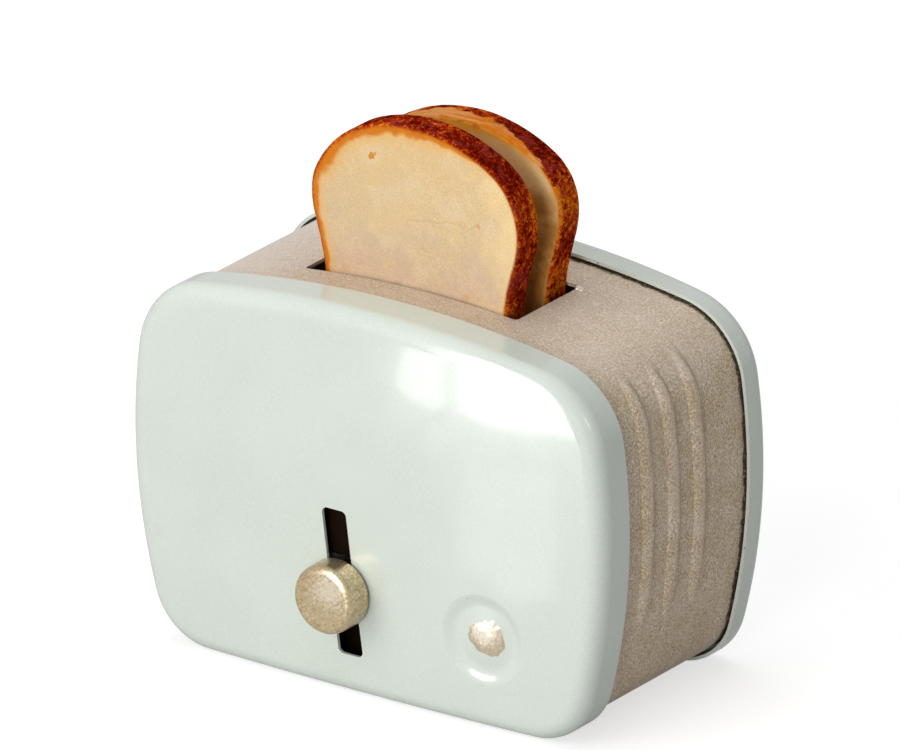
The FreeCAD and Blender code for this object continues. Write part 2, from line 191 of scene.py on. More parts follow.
def enamel(name, rim_y, toward):
    """toward is +1 where the cover's cut edge is at its largest Y, and -1 at its smallest."""
    p = Paint(name)
    tone = p.noise(0.06, 2.0)
    colour = p.mix(p.span(tone, 0.35, 0.65), ENAMEL, ENAMEL_PALE)
    grain = p.span(p.noise(6.0, 2.0), 0.3, 0.7, 0.955, 1.035)
    grey = p.add("ShaderNodeCombineColor", {"Red": grain, "Green": grain, "Blue": grain})
    colour = p.mix(1.0, colour, grey.outputs[0], "MULTIPLY")
    specks = p.math("LESS_THAN", p.cells(0.35), 0.032)
    chosen = p.span(p.noise(0.11, 1.0), 0.58, 0.68, 0.0, 0.7)
    colour = p.mix(p.math("MULTIPLY", specks, chosen), colour, ENAMEL_SPECK)
    inward = p.math("MULTIPLY", p.math("SUBTRACT", rim_y, p.y), toward)
    wander = p.span(p.noise(0.8, 5.0, 0.7), 0.56, 0.85, -0.05, 0.16)
    worn = p.math("LESS_THAN", p.math("SUBTRACT", inward, wander), 0.0)
    metal = p.mix(p.span(p.noise(1.3, 3.0), 0.50, 0.6), CUT_EDGE, CHIP_METAL)
    colour = p.mix(worn, colour, metal)
    rough = p.span(p.noise(0.35, 3.0), 0.3, 0.7, 0.16, 0.24)
    rough = p.math("ADD", rough, p.math("MULTIPLY", worn, 0.35))
    wave = p.bump(p.noise(0.13, 1.0), 0.05, 1.0)
    peel = p.bump(p.noise(1.7, 2.0), 0.0022, 1.0, wave)
    fine = p.bump(p.noise(7.0, 2.0), 0.0004, 1.0, peel)
    p.set(Base_Color=colour, Roughness=rough, Normal=fine, Specular_IOR_Level=0.50)
    p.set(Coat_Weight=0.45, Coat_Roughness=0.055, Coat_IOR=1.5)
    p.feed(p.shader.inputs["Coat Normal"], peel)
    return p.material


# Bronze paint: sandy grains of metal in a dull binder, with fine wrinkles across the top
BRONZE_DARK = (0.390, 0.290, 0.185)
BRONZE_MID = (0.662, 0.538, 0.415)
BRONZE_LIGHT = (0.980, 0.860, 0.700)
BRONZE_YELLOW = (0.860, 0.815, 0.670)
BRONZE_ROSE = (0.740, 0.620, 0.530)
BRONZE_TOP_LIT = (0.730, 0.630, 0.540)
BRONZE_PAINTED_HIGHLIGHT = (0.860, 0.790, 0.740)
BRONZE_SHADED = (0.300, 0.215, 0.125)
BAND_GAP_SHADE = (0.060, 0.036, 0.022)


def bronze_paint():
    p = Paint("bronze_paint_look")
    grains = p.noise(4.0, 2.0, 0.6)
    fine = p.noise(9.0, 2.0, 0.6)
    mixed = p.math("ADD", p.math("MULTIPLY", grains, 0.55), p.math("MULTIPLY", fine, 0.45))
    stops = [(0.40, BRONZE_DARK), (0.48, BRONZE_MID), (0.52, BRONZE_MID), (0.61, BRONZE_LIGHT)]
    colour = p.ramp(mixed, stops)
    on_top = p.span(p.z, 38.0, 45.0)
    # Yellower where the paint is thin, rosy where it is thick
    thin = p.span(p.noise(0.35, 4.0, 0.65), 0.40, 0.60, 0.15, 0.75)
    thin = p.math("MULTIPLY", thin, p.span(on_top, 0.0, 1.0, 1.0, 0.45))
    colour = p.mix(thin, colour, BRONZE_YELLOW, "MULTIPLY")
    thick = p.span(p.noise(0.22, 3.0, 0.6, 0.5), 0.50, 0.66, 0.0, 0.30)
    colour = p.mix(thick, colour, BRONZE_ROSE)
    # Painted light: the top is made lighter and rosier, as lit from above, with less of the thin paint's
    # yellow there, and its left end lighter still, as a painted highlight
    colour = p.mix(p.math("MULTIPLY", on_top, 0.30), colour, BRONZE_TOP_LIT)
    painted_highlight = p.math("MULTIPLY", p.span(p.x, -14.0, -29.0, 0.0, 0.6), on_top)
    colour = p.mix(painted_highlight, colour, BRONZE_PAINTED_HIGHLIGHT)
    # Wrinkles run with the strip, across the toaster; on the top their grooves are painted dark as shade,
    # along with dark scratch marks
    long_way = p.stretched((0.16, 1.5, 1.0), (0, 0, 7))
    wrinkle = p.noise(1.0, 4.0, 0.6, 0.6, long_way)
    crease = p.span(p.math("ABSOLUTE", p.math("SUBTRACT", wrinkle, 0.5)), 0.0, 0.018, 1.0, 0.0)
    crease = p.math("MULTIPLY", crease, p.span(p.noise(0.12, 2.0), 0.42, 0.60))
    short_way = p.stretched((0.5, 3.6, 2.0), (0, 0, -4))
    scratch = p.span(p.noise(1.0, 3.0, 0.6, 0.4, short_way), 0.60, 0.70)
    scratch = p.math("MULTIPLY", scratch, p.span(p.noise(0.16, 2.0), 0.45, 0.6, 0.15, 0.7))
    crease = p.math("MULTIPLY", p.math("MAXIMUM", crease, scratch), on_top)
    colour = p.mix(p.math("MULTIPLY", crease, 0.40), colour, BRONZE_DARK)
    # Beads: a painted highlight on the crest, and painted shade behind them
    side = p.math("MULTIPLY", p.span(p.math("ABSOLUTE", p.x), 26.5, 30.5), p.span(p.z, 15.5, 20.0))
    for bead_y in BEAD_YS:
        across = p.math("SUBTRACT", p.y, bead_y)
        painted_crest_light = p.span(p.math("ABSOLUTE", p.math("ADD", across, 0.1)), 0.05, 0.35, 0.30, 0.0)
        colour = p.mix(p.math("MULTIPLY", painted_crest_light, side), colour, BRONZE_ROSE)
        behind = p.span(p.math("ABSOLUTE", p.math("SUBTRACT", across, 0.85)), 0.10, 0.55, 0.55, 0.0)
        behind = p.math("MULTIPLY", behind, p.span(p.noise(0.5, 3.0), 0.3, 0.6, 0.5, 1.0))
        colour = p.mix(p.math("MULTIPLY", behind, side), colour, BRONZE_SHADED)
    # Painted shade darkens the band beside both covers, where they meet, with paler flecks in it
    front_gap = p.math("SUBTRACT", p.y, FRONT_RIM_Y)
    rear_gap = p.math("SUBTRACT", REAR_RIM_Y, p.y)
    gap = p.math("MINIMUM", front_gap, rear_gap)
    ragged = p.span(p.noise(0.8, 4.0, 0.6), 0.3, 0.7, -0.2, 0.3)
    gap_shade = p.span(p.math("ADD", gap, ragged), 0.0, 0.40, 0.85, 0.0)
    fleck = p.span(p.noise(2.4, 2.0), 0.60, 0.66, 0.0, 0.7)
    colour = p.mix(gap_shade, colour, p.mix(fleck, BAND_GAP_SHADE, BRONZE_MID))
    rough = p.span(fine, 0.3, 0.7, 0.48, 0.66)
    low = p.bump(p.noise(0.22, 2.0), 0.05)
    low = p.bump(crease, 0.02, -1.0, low)
    skin = p.bump(mixed, 0.030, 1.0, low)
    p.set(Base_Color=colour, Roughness=rough, Normal=skin, Metallic=0.15)
    return p.material


# Brushed pale gold for the knob and the dial's dot
GOLD = (0.560, 0.438, 0.264)
GOLD_LIGHT = (0.860, 0.750, 0.570)
GOLD_DARK = (0.340, 0.235, 0.120)
GOLD_PALE_AND_HIGHLIGHT = (0.960, 0.880, 0.760)


def brushed_gold(name, turn=35.0, strokes=1.0, pale=0.0, worn=None, highlight_share=0.45):
    """turn and strokes are the brush strokes' angle and how fine they are.

    pale lifts the whole colour, and worn is (x, z, radius) of a patch painted bright as a highlight.
    """
    p = Paint(name)
    along = p.stretched((0.45, 2.0, 5.5), (0, turn, 0))
    across = p.stretched((0.40, 2.0, 4.5), (0, turn - 65, 0))
    brush = p.noise(0.9 * strokes, 4.0, 0.65, 1.4, along)
    cross = p.noise(0.8 * strokes, 3.0, 0.6, 1.4, across)
    stipple = p.noise(2.8, 4.0, 0.7, 0.4)
    marks = p.math("ADD", p.math("MULTIPLY", brush, 0.42), p.math("MULTIPLY", cross, 0.13))
    marks = p.math("ADD", marks, p.math("MULTIPLY", stipple, 0.45))
    stops = [(0.40, GOLD_DARK), (0.475, GOLD), (0.53, GOLD), (0.60, GOLD_LIGHT)]
    colour = p.ramp(marks, stops)
    blot = p.span(p.noise(0.7, 3.0), 0.54, 0.72, 0.0, 0.45)
    colour = p.mix(blot, colour, GOLD_DARK)
    colour = p.mix(pale, colour, GOLD_PALE_AND_HIGHLIGHT)
    # Painted highlight: a patch made bright where light would glint on the metal
    if worn:
        x, z, radius = worn
        gap = p.math("POWER", p.math("SUBTRACT", p.x, x), 2.0)
        gap = p.math("SQRT", p.math("ADD", gap, p.math("POWER", p.math("SUBTRACT", p.z, z), 2.0)))
        gap = p.math("ADD", gap, p.span(marks, 0.4, 0.6, 0.7, -0.7))
        colour = p.mix(p.span(gap, radius * 0.3, radius, highlight_share, 0.0), colour, GOLD_PALE_AND_HIGHLIGHT)
    rough = p.span(marks, 0.35, 0.65, 0.46, 0.26)
    low = p.bump(p.noise(0.5, 1.0), 0.05)
    skin = p.bump(marks, 0.022, 1.0, low)
    p.set(Base_Color=colour, Roughness=rough, Normal=skin, Metallic=0.88)
    return p.material


def tin(name, base, dark, metallic, low, high, gloss=0.5):
    """Bare metal inside the toaster: faint rolling lines, stains and small pits."""
    p = Paint(name)
    lines = p.noise(1.0, 3.0, 0.6, 0.0, p.stretched((0.3, 3.0, 6.0)))
    stain = p.noise(0.35, 4.0, 0.6, 0.4)
    colour = p.mix(p.span(stain, 0.42, 0.68), base, dark)
    colour = p.mix(p.span(lines, 0.3, 0.7, 0.0, 0.3), colour, dark)
    rough = p.span(p.noise(2.5, 3.0), 0.3, 0.7, low, high)
    skin = p.bump(lines, 0.01, 1.0, p.bump(p.noise(3.0, 3.0), 0.006))
    p.set(Base_Color=colour, Roughness=rough, Normal=skin, Metallic=metallic, Specular_IOR_Level=gloss)
    return p.material


# Painted wood: cream faces with an orange ring, and a dark mottled crust
FRONT_TONES = [(0.12, (0.615, 0.452, 0.318)), (0.48, (0.685, 0.510, 0.300)), (0.88, (0.725, 0.515, 0.270))]
# The rear face's tones darken downward, as painted shade between the slices
REAR_TONES = [(0.36, (0.900, 0.450, 0.170)), (0.62, (0.940, 0.570, 0.250)), (0.90, (0.950, 0.620, 0.290))]
CRUMB_PALE = (0.830, 0.660, 0.430)
CRUMB_PINK = (0.700, 0.470, 0.350)
CRUMB_YELLOW = (0.820, 0.570, 0.210)
CRUMB_LIGHT = (0.920, 0.690, 0.340)
HONEY = (0.780, 0.420, 0.110)
TOAST = (0.640, 0.190, 0.007)
TOAST_PALE = (0.900, 0.400, 0.045)
SHADE_BROWN = (0.400, 0.145, 0.012)
OCHRE = (0.740, 0.195, 0.008)
OCHRE_PALE = (0.780, 0.340, 0.110)
TOAST_DARK = (0.430, 0.065, 0.003)
CRACK = (0.500, 0.290, 0.120)
CRUST_PLUM_SHEEN = (0.400, 0.048, 0.042)
CRUST_STOPS = [
    (0.40, (0.100, 0.004, 0.001)), (0.46, (0.250, 0.012, 0.002)), (0.51, (0.410, 0.032, 0.004)),
    (0.56, (0.600, 0.090, 0.006)), (0.63, (0.820, 0.230, 0.012)),
]
SPOT = (0.640, 0.240, 0.020)


def painted_wood(name, tones, spots, cracks, shade_share=0.0, toast=TOAST, bare_strip=None):
    """Uses values stored on the slice: how far in from its edge, how wide the ring is, crust or face.

    browned is the share of painted shade, in brown, at the face's lower right, where the slices shade each
    other; toast is the ring's colour.
    Near the top, the crust is bare ochre in front of a line: bare_strip is its y in the middle and
    at the right.
    """
    p = Paint(name)
    edge = p.attribute("from_edge")
    ring = p.attribute("ring_width")
    crust = p.attribute("crust")
    # Face: three tones from low to high, with soft patches and a sponged grain
    wave = p.span(p.noise(0.25, 3.0), 0.3, 0.7, -1.6, 1.6)
    height = p.span(p.math("ADD", p.z, wave), 44.0, 64.0, 0.0, 1.0, False)
    colour = p.ramp(height, tones)
    fine = p.noise(3.4, 3.0, 0.6)
    pale = p.span(p.noise(0.38, 4.0, 0.6, 0.3), 0.44, 0.70, 0.0, 0.34)
    colour = p.mix(pale, colour, CRUMB_PALE)
    pink = p.span(p.noise(0.2, 3.0), 0.48, 0.64, 0.0, 0.45)
    colour = p.mix(p.math("MULTIPLY", pink, p.span(p.z, 57.0, 50.0)), colour, CRUMB_PINK)
    yellow = p.span(p.noise(0.4, 4.0, 0.7, 0.5), 0.52, 0.68, 0.0, 0.24)
    colour = p.mix(yellow, colour, CRUMB_YELLOW)
    rightward = p.span(p.math("ADD", p.x, wave), 7.0, 13.0, 0.0, 0.45)
    colour = p.mix(rightward, colour, CRUMB_LIGHT)
    grain = p.span(p.noise(6.0, 2.0, 0.6), 0.3, 0.7, 0.90, 1.08)
    grey = p.add("ShaderNodeCombineColor", {"Red": grain, "Green": grain, "Blue": grain})
    colour = p.mix(1.0, colour, grey.outputs[0], "MULTIPLY")
    # Painted shade: brown low down at the face's right, where the slices shade each other
    low = p.span(p.math("ADD", p.z, wave), 53.5, 60.0, shade_share, 0.0)
    low = p.math("MULTIPLY", low, p.span(p.math("ADD", p.x, wave), 2.5, 9.5, 0.12, 1.0))
    low = p.math("MULTIPLY", low, p.span(p.noise(0.8, 4.0, 0.6), 0.35, 0.60, 0.75, 1.0))
    colour = p.mix(low, colour, SHADE_BROWN)
    # Ring of toasted colour round the face, soft toward the middle
    wander = p.span(p.noise(0.55, 3.0, 0.5), 0.3, 0.7, -0.20, 0.20)
    share = p.math("SUBTRACT", p.math("DIVIDE", edge, ring), wander)
    colour = p.mix(p.span(share, 0.6, 2.6, 0.72, 0.0), colour, HONEY)
    colour = p.mix(p.span(share, 0.75, 1.30, 1.0, 0.0), colour, toast)
    char = p.math("MULTIPLY", p.span(share, 0.1, 0.8, 0.8, 0.0), p.span(p.noise(0.8, 3.0), 0.42, 0.62))
    colour = p.mix(char, colour, TOAST_DARK)
    for x, y, z, radius, strength in spots:
        spot = p.span(p.near(x, y, z, 0.2), radius * 0.6, radius, strength, 0.0)
        colour = p.mix(spot, colour, SPOT)
    waver = p.span(p.noise(0.6, 2.0), 0.3, 0.7, -0.14, 0.14)
    for x0, z0, x1, z1 in cracks:
        slope = (z1 - z0) / (x1 - x0)
        run = p.math("MULTIPLY", p.math("SUBTRACT", p.x, x0), slope)
        off = p.math("ABSOLUTE", p.math("SUBTRACT", p.math("ADD", p.z, waver), p.math("ADD", run, z0)))
        after = p.span(p.x, x0 - 0.1, x0 + 0.2)
        before = p.span(p.x, x1 - 0.2, x1 + 0.1, 1.0, 0.0)
        line = p.math("MULTIPLY", p.math("MULTIPLY", after, before), p.span(off, 0.03, 0.19, 0.26, 0.0))
        colour = p.mix(line, colour, CRACK)
    # Crust: lumps from near black red to orange, with plum patches that are a painted sheen
    lump = p.noise(1.5, 4.0, 0.6, 0.25)
    speck = p.noise(3.8, 2.0, 0.6)
    patch = p.span(p.noise(0.15, 2.0), 0.36, 0.64, -0.055, 0.055)
    near_face = p.span(p.attribute("to_face"), 0.1, 0.8, 0.05, 0.0)
    level = p.math("ADD", p.math("MULTIPLY", lump, 0.60), p.math("MULTIPLY", speck, 0.40))
    level = p.math("ADD", level, p.math("ADD", patch, near_face))
    level = p.math("ADD", level, p.span(p.z, 58.0, 63.0, 0.008, -0.030))
    bark = p.ramp(level, CRUST_STOPS)
    plum_sheen = p.span(p.noise(0.45, 4.0, 0.65), 0.50, 0.66, 0.0, 0.50)
    plum_sheen = p.math("MULTIPLY", plum_sheen, p.span(level, 0.45, 0.58, 1.0, 0.25))
    bark = p.mix(plum_sheen, bark, CRUST_PLUM_SHEEN)
    if bare_strip:
        limit = p.span(p.x, 0.0, 13.0, *bare_strip)
        torn = p.span(p.noise(0.5, 3.0), 0.3, 0.7, -0.5, 0.5)
        behind = p.math("ADD", p.math("SUBTRACT", p.y, limit), torn)
        bare = p.math("MULTIPLY", p.span(behind, -0.25, 0.25, 1.0, 0.0), p.span(p.z, 54.0, 57.0))
        streak = p.noise(1.0, 3.0, 0.6, 0.3, p.stretched((0.25, 2.2, 1.0)))
        streak = p.math("ADD", streak, p.span(p.x, -4.0, 3.0, 0.12, -0.02))
        bark = p.mix(bare, bark, p.mix(p.span(streak, 0.44, 0.62), OCHRE, OCHRE_PALE))
    colour = p.mix(crust, colour, bark)
    rough = p.math("ADD", p.span(fine, 0.3, 0.7, 0.42, 0.56), p.math("MULTIPLY", crust, -0.04))
    carve = p.bump(p.noise(0.5, 3.0), 0.06)
    skin = p.bump(fine, 0.015, 1.0, carve)
    rind = p.math("MULTIPLY", p.math("ADD", lump, p.math("MULTIPLY", speck, 0.6)), crust)
    skin = p.bump(rind, 0.22, 1.0, skin)
    shine = p.span(crust, 0.0, 1.0, 0.12, 0.0)
    p.set(Base_Color=colour, Roughness=rough, Normal=skin, Specular_IOR_Level=shine)
    p.set(Subsurface_Weight=0.04, Subsurface_Scale=0.0006)
    return p.material


def mesh_object(name, points, faces, material, body):
    """A smooth-shaded piece, from points in millimetres, that rides on a body."""
    mesh = bpy.data.meshes.new(name)
    mesh.from_pydata([Vector(p) * MM for p in points], [], faces)
    mesh.validate()
    mesh.update()
    mesh.polygons.foreach_set("use_smooth", [True] * len(mesh.polygons))
    mesh.materials.append(material)
    piece = bpy.data.objects.new(name, mesh)
    bpy.context.scene.collection.objects.link(piece)
    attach(piece, body)
    return piece


def store(piece, name, values):
    """Keeps one number for each point, which a material can read."""
    layer = piece.data.attributes.new(name, "FLOAT", "POINT")
    layer.data.foreach_set("value", values)


def outline_of(node, count):
    """The slice's outline from its CAD piece, as evenly spaced (x, z) points in millimetres."""
    low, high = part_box(node)
    edge_y = low.y / MM + SLICE_ROUND
    loop = []
    for v in nodes[node].data.vertices:
        if abs(v.co.y / MM - edge_y) < 0.002:
            loop.append((v.co.x / MM, v.co.z / MM))
    cx = (low.x + high.x) / 2 / MM
    cz = (low.z + high.z) / 2 / MM
    by_angle = {}
    for x, z in loop:
        by_angle[round(math.atan2(z - cz, x - cx), 5)] = (x, z)
    ring = [by_angle[a] for a in sorted(by_angle)]
    lengths = [0.0]
    for i in range(len(ring)):
        x0, z0 = ring[i]
        x1, z1 = ring[(i + 1) % len(ring)]
        lengths.append(lengths[-1] + math.hypot(x1 - x0, z1 - z0))
    even = []
    step = lengths[-1] / count
    i = 0
    for k in range(count):
        s = k * step
        while lengths[i + 1] < s:
            i += 1
        t = (s - lengths[i]) / max(lengths[i + 1] - lengths[i], 1e-9)
        x0, z0 = ring[i]
        x1, z1 = ring[(i + 1) % len(ring)]
        even.append((x0 + (x1 - x0) * t, z0 + (z1 - z0) * t))
    return even, (cx, cz)


def inward_normals(outline):
    """Unit vectors that point into the outline, smoothed over a few points."""
    normals = []
    count = len(outline)
    for i in range(count):
        x0, z0 = outline[i - 3]
        x1, z1 = outline[(i + 3) % count]
        length = math.hypot(x1 - x0, z1 - z0)
        normals.append((-(z1 - z0) / length, (x1 - x0) / length))
    return normals


# Slices: points round the outline, rings from rim to middle as shares of the way, and the shaved shoulder
OUTLINE_POINTS = 520
FACE_RINGS = [0.012, 0.024, 0.038, 0.054, 0.072, 0.092, 0.115, 0.14, 0.17, 0.21, 0.26, 0.31, 0.37, 0.43]
FACE_RINGS += [0.49, 0.55, 0.61, 0.67, 0.73, 0.79, 0.85, 0.90, 0.94, 0.97]
CRUST_STEPS = 14
SHOULDER_ANGLE = 2.42
SHOULDER_SPREAD = 0.24
ROUND_STEPS = 5


def slice_piece(name, node, body, material, seed, ring_at, shoulder):
    """A carved slice: wavy faces, unevenly cut rim, all inside the CAD piece; shoulder is shaved off."""
    outline, (cx, cz) = outline_of(node, OUTLINE_POINTS)
    normals = inward_normals(outline)
    low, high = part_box(node)
    y0, y1 = low.y / MM, high.y / MM
    r = SLICE_ROUND
    # Each ring: y, how far in from the outline, share of the way to the middle
    rings = [(y0, r, s) for s in reversed(FACE_RINGS)]
    for k in range(ROUND_STEPS + 1):
        a = math.pi / 2 * k / ROUND_STEPS
        rings.append((y0 + r - r * math.cos(a), r - r * math.sin(a), 0.0))
    for k in range(1, CRUST_STEPS):
        rings.append((y0 + r + (y1 - y0 - 2 * r) * k / CRUST_STEPS, 0.0, 0.0))
    for k in range(ROUND_STEPS + 1):
        a = math.pi / 2 * k / ROUND_STEPS
        rings.append((y1 - r + r * math.sin(a), r - r * math.cos(a), 0.0))
    rings += [(y1, r, s) for s in FACE_RINGS]
    points, from_edge, ring_width, crust, to_face = [], [], [], [], []
    middle_y = (y0 + y1) / 2
    for y, inset, share in rings:
        for i, (x, z) in enumerate(outline):
            nx, nz = normals[i]
            px, pz = x + nx * inset, z + nz * inset
            px, pz = px + (cx - px) * share, pz + (cz - pz) * share
            on_face = inset >= r - 1e-6
            spot = Vector((px * 0.11 + seed, y * 0.05, pz * 0.11))
            facet = noise.noise(Vector((x * 0.19 + seed, 3.0, z * 0.19)))
            ripple = noise.noise(Vector((px * 0.9 + seed, y * 0.9, pz * 0.9)))
            dip = 0.10 * (0.5 + 0.5 * facet) + 0.05 * (0.5 + 0.5 * ripple)
            turned = math.atan2(z - cz, x - cx) - SHOULDER_ANGLE
            dip += shoulder * math.exp(-(turned / SHOULDER_SPREAD) ** 2)
            fade = max(0.0, 1.0 - share * 4)
            px += nx * dip * fade
            pz += nz * dip * fade
            wave = 0.10 * (0.5 + 0.5 * noise.noise(spot)) + 0.025 * (0.5 + 0.5 * ripple)
            toward = 1.0 if y < middle_y else -1.0
            keep = 1.0 if on_face else max(0.0, 1.0 - (r - inset) / r)
            points.append((px, y + toward * wave * keep, pz))
            gap = math.hypot(px - (x + nx * dip), pz - (z + nz * dip))
            from_edge.append(gap)
            ring_width.append(ring_at(x - cx, z - cz, y < middle_y))
            crust.append(0.0 if on_face else min(1.0, (r - inset) / r * 1.6))
            to_face.append(min(y - y0, y1 - y))
    faces = []
    n = OUTLINE_POINTS
    for k in range(len(rings) - 1):
        for i in range(n):
            j = (i + 1) % n
            faces.append((k * n + i, k * n + j, (k + 1) * n + j, (k + 1) * n + i))
    for y, base, flip in ((y0, 0, True), (y1, (len(rings) - 1) * n, False)):
        points.append((cx, points[base][1], cz))
        from_edge.append(14.0)
        ring_width.append(0.5)
        crust.append(0.0)
        to_face.append(0.0)
        hub = len(points) - 1
        for i in range(n):
            j = (i + 1) % n
            faces.append((hub, base + j, base + i) if flip else (hub, base + i, base + j))
    piece = mesh_object(name, points, faces, material, body)
    store(piece, "from_edge", from_edge)
    store(piece, "ring_width", ring_width)
    store(piece, "crust", crust)
    store(piece, "to_face", to_face)
    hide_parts(node)
    return piece


def front_ring(dx, dz, front):
    """Width of the toasted ring: broad at the upper left, thin down the right."""
    angle = math.atan2(dz, dx)
    upper_left = math.exp(-((angle - 2.40) / 0.40) ** 2)
    top = math.exp(-((angle - 1.62) / 0.50) ** 2)
    left = 1.0 / (1.0 + math.exp(-(abs(angle) - 2.3) / 0.15))
    return 0.32 + 0.62 * left + 0.60 * upper_left + 0.95 * top + (0.0 if front else 0.15)


def rear_ring(dx, dz, front):
    """Width of the toasted ring, the same on both faces: broad at the top."""
    angle = math.atan2(dz, dx)
    upper = math.exp(-((angle - 1.75) / 0.65) ** 2)
    return 0.30 + 1.00 * upper


def surface_of(node):
    """A node's faces as a tree that rays are cast against."""
    mesh = nodes[node].data
    points = [v.co / MM for v in mesh.vertices]
    return BVHTree.FromPolygons(points, [tuple(face.vertices) for face in mesh.polygons])


def drop(tree, start, way):
    """Where a ray first meets the tree."""
    return tree.ray_cast(Vector(start), Vector(way))[0]


BLOB_SPOKES = 96
BLOB_RINGS = 14
BLOB_TUCK = 0.01


def paint_blob(name, node, centre, way, across, up, reach, thickness, seed, material):
    """A drop of paint on a node's surface: ragged outline, domed, with an edge that tucks under."""
    spokes, rings = BLOB_SPOKES, BLOB_RINGS
    tree = surface_of(node)
    points, faces = [], []
    middle = drop(tree, centre, way)
    lift_way = -Vector(way)
    points.append(middle + lift_way * thickness)
    for k in range(1, rings + 1):
        s = k / rings
        for i in range(spokes):
            a = 2 * math.pi * i / spokes
            ragged = noise.noise(Vector((math.cos(a) * 1.1 + seed, math.sin(a) * 1.1, 0.0)))
            fringe = noise.noise(Vector((math.cos(a) * 4.0, math.sin(a) * 4.0 + seed, 1.0)))
            r = reach(a) * (1.0 + 0.20 * ragged + 0.14 * fringe) * s
            start = Vector(centre) + Vector(across) * (r * math.cos(a)) + Vector(up) * (r * math.sin(a))
            place = drop(tree, start, way)
            ripple = noise.noise(Vector((r * math.cos(a) * 1.7, r * math.sin(a) * 1.7, seed)))
            lift = thickness * (1.0 + 0.25 * ripple) * math.sqrt(max(0.0, 1.0 - s ** 6))
            points.append(place + lift_way * (lift - BLOB_TUCK * (k == rings)))
    for i in range(spokes):
        j = (i + 1) % spokes
        faces.append((0, 1 + i, 1 + j))
        for k in range(rings - 1):
            a, b = 1 + k * spokes, 1 + (k + 1) * spokes
            faces.append((a + i, b + i, b + j, a + j))
    return mesh_object(name, points, faces, material, "housing")


# Materials on the CAD pieces that stay
looks = {
    "front_cover": enamel("enamel_front_look", FRONT_RIM_Y, 1),
    "rear_cover": enamel("enamel_rear_look", REAR_RIM_Y, -1),
    "body_band": bronze_paint(),
    # The knob's worn patch is a painted highlight at the upper right of its face
    "lever_knob": brushed_gold("knob_gold_look", worn=(SLOT_X + 1.0, KNOB_Z + 1.3, 2.9)),
}
# The pieces inside are painted near black, as painted shade for the toaster's dark inside
inner_tin_shaded = tin("tin_painted_shade_look", (0.012, 0.006, 0.003), (0.006, 0.003, 0.0015), 0.0, 0.7, 0.9, 0.03)
for inner in ("seam_strap", "slot_guide", "carriage_arm", "bread_cradle"):
    looks[inner] = inner_tin_shaded
looks["lever_stem"] = tin("stem_brass_look", (0.62, 0.50, 0.28), (0.30, 0.22, 0.11), 1.0, 0.25, 0.4)
looks["friction_spring"] = tin("spring_steel_look", (0.36, 0.37, 0.40), (0.12, 0.11, 0.13), 1.0, 0.2, 0.35)
looks["cradle_rivets"] = tin("rivet_look", (0.66, 0.66, 0.67), (0.35, 0.34, 0.33), 1.0, 0.3, 0.45)
for node_name, look in looks.items():
    slots = nodes[node_name].data.materials
    for index in range(len(slots)):
        slots[index] = look

# Slices: each spot is x, y, z, radius and strength, and each crack is x, z, x, z of its two ends
FRONT_SPOTS = [(-6.75, -3.35, 61.0, 0.45, 0.95), (-6.25, -3.35, 61.4, 0.30, 0.90)]
FRONT_SPOTS += [(8.0, -3.35, 55.6, 0.40, 0.45), (6.3, -3.35, 46.6, 0.60, 0.30)]
FRONT_SPOTS += [(8.0, -3.35, 46.9, 0.35, 0.25), (-10.5, -3.35, 46.5, 0.70, 0.30)]
FRONT_SPOTS += [(0.4, -3.35, 51.3, 0.40, 0.18)]
FRONT_CRACKS = [(-1.8, 54.2, 5.0, 55.4), (5.0, 55.4, 6.4, 54.8), (6.4, 54.8, 8.1, 55.8)]
REAR_SPOTS = [(6.0, 4.85, 58.0, 0.6, 0.3)]
REAR_BARE_STRIP = (7.1, 5.1)
slice_piece(
    "front_slice_painted", "front_slice", "front_bread",
    painted_wood("front_slice_look", FRONT_TONES, FRONT_SPOTS, FRONT_CRACKS), 4.0, front_ring, 0.42,
)
# The rear slice's face carries painted shade low down at the right
slice_piece(
    "rear_slice_painted", "rear_slice", "rear_bread",
    painted_wood("rear_slice_look", REAR_TONES, REAR_SPOTS, [], 0.88, TOAST_PALE, REAR_BARE_STRIP),
    17.0, rear_ring, 0.0,
)

# Gold dot in the pressed dial, and a stray drop of paint at the bread opening's corner
# The dot's last two values place a painted highlight on its upper middle
dot_gold = brushed_gold("dial_gold_look", 80.0, 1.3, 0.30, (DIAL_X + 0.1, DIAL_Z + 1.1, 2.2), 0.85)
dot = paint_blob(
    "dial_paint_dot", "front_cover", (DIAL_X + 0.25, -30.0, DIAL_Z + 0.3), (0, 1, 0), (1, 0, 0), (0, 0, 1),
    lambda a: 2.25 + 0.15 * math.cos(2 * a), 0.11, 2.0, dot_gold,
)
drop_look = brushed_gold("stray_drop_look", 10.0, 2.0, 0.7)
stray = paint_blob(
    "stray_paint_drop", "body_band", (13.75, 8.4, 60.0), (0, 0, -1), (1, 0, 0), (0, 1, 0),
    lambda a: 0.52 + 0.12 * math.cos(2 * a), 0.26, 9.0, drop_look,
)


